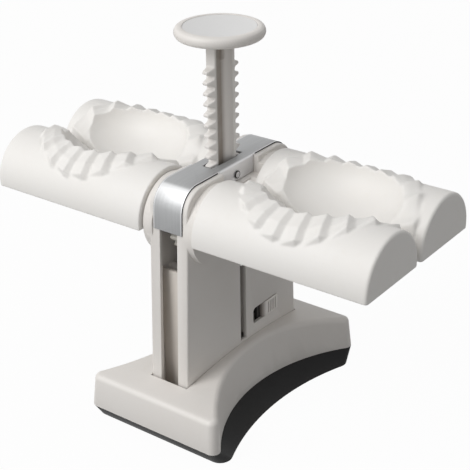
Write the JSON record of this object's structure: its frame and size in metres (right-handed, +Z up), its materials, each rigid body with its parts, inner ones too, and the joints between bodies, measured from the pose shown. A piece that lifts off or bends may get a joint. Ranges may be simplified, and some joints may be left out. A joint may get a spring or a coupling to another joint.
{
  "type": "ravioli maker",
  "caption": "Table-top dumpling and ravioli press: two arms of pleated roller moulds, turned together by a knob on a toothed rod that is pushed down through a column.",
  "frame": {"origin": "on the table, under the middle of the base", "axes": "+X along the right arm, +Y towards the rear roller, +Z up the column to the knob"},
  "size_m": [0.29, 0.167, 0.2608],
  "materials": {
    "mould_white": "satin moulded plastic",
    "body_white": "satin moulded plastic",
    "inner_plastic": "matt moulded plastic",
    "cap_grey": "matt moulded plastic",
    "gear_plastic": "matt moulded plastic",
    "brushed_band": "brushed",
    "steel": "bright drawn",
    "foot_rubber": "matt"
  },
  "bodies": {
    "stand": {"base_foot": "foot_rubber", "base_shell": "body_white", "base_plate": "inner_plastic", "base_screws": "steel", "column_left_half": "body_white", "column_right_half": "body_white", "column_screws": "steel", "inner_frame": "inner_plastic", "rod_guide": "inner_plastic", "cover_band": "brushed_band", "band_screws": "steel", "front_axle_bushes": "gear_plastic", "rear_axle_bushes": "gear_plastic", "return_spring": "steel"},
    "press": {"rack_rod": "body_white", "press_knob": "body_white", "knob_cap": "cap_grey", "knob_screw": "steel", "stop_pin": "steel"},
    "front_roller": {"front_axle": "steel", "front_pinion": "gear_plastic", "front_left_mould": "mould_white", "front_right_mould": "mould_white", "front_left_cover": "body_white", "front_right_cover": "body_white", "front_cover_screws": "steel"},
    "rear_roller": {"rear_axle": "steel", "rear_pinion": "gear_plastic", "rear_left_mould": "mould_white", "rear_right_mould": "mould_white", "rear_left_cover": "body_white", "rear_right_cover": "body_white", "rear_cover_screws": "steel"},
    "lock_slider": {"lock_button": "body_white", "lock_plate": "inner_plastic", "lock_screw": "steel"}
  },
  "joints": [
    {"name": "press_slide", "type": "slide", "parent": "stand", "child": "press", "axis": [0, 0, -1], "range_m": [0, 0.0565], "stiffness_N_per_m": 150, "springref_m": -0.02, "deforming": ["return_spring"]},
    {"name": "front_roll", "type": "hinge", "parent": "stand", "child": "front_roller", "pos_m": [0, -0.0314, 0.1429], "axis": [1, 0, 0], "range_deg": [-171.5, 0]},
    {"name": "rear_roll", "type": "hinge", "parent": "stand", "child": "rear_roller", "pos_m": [0, 0.0314, 0.1429], "axis": [1, 0, 0], "range_deg": [0, 171.5]},
    {"name": "lock_slide", "type": "slide", "parent": "stand", "child": "lock_slider", "axis": [0, -1, 0], "range_m": [0, 0.01]}
  ],
  "couplings": [
    {"joint": "front_roll", "follows": "press_slide", "rad_per_m": -52.91},
    {"joint": "rear_roll", "follows": "press_slide", "rad_per_m": 52.91}
  ]
}
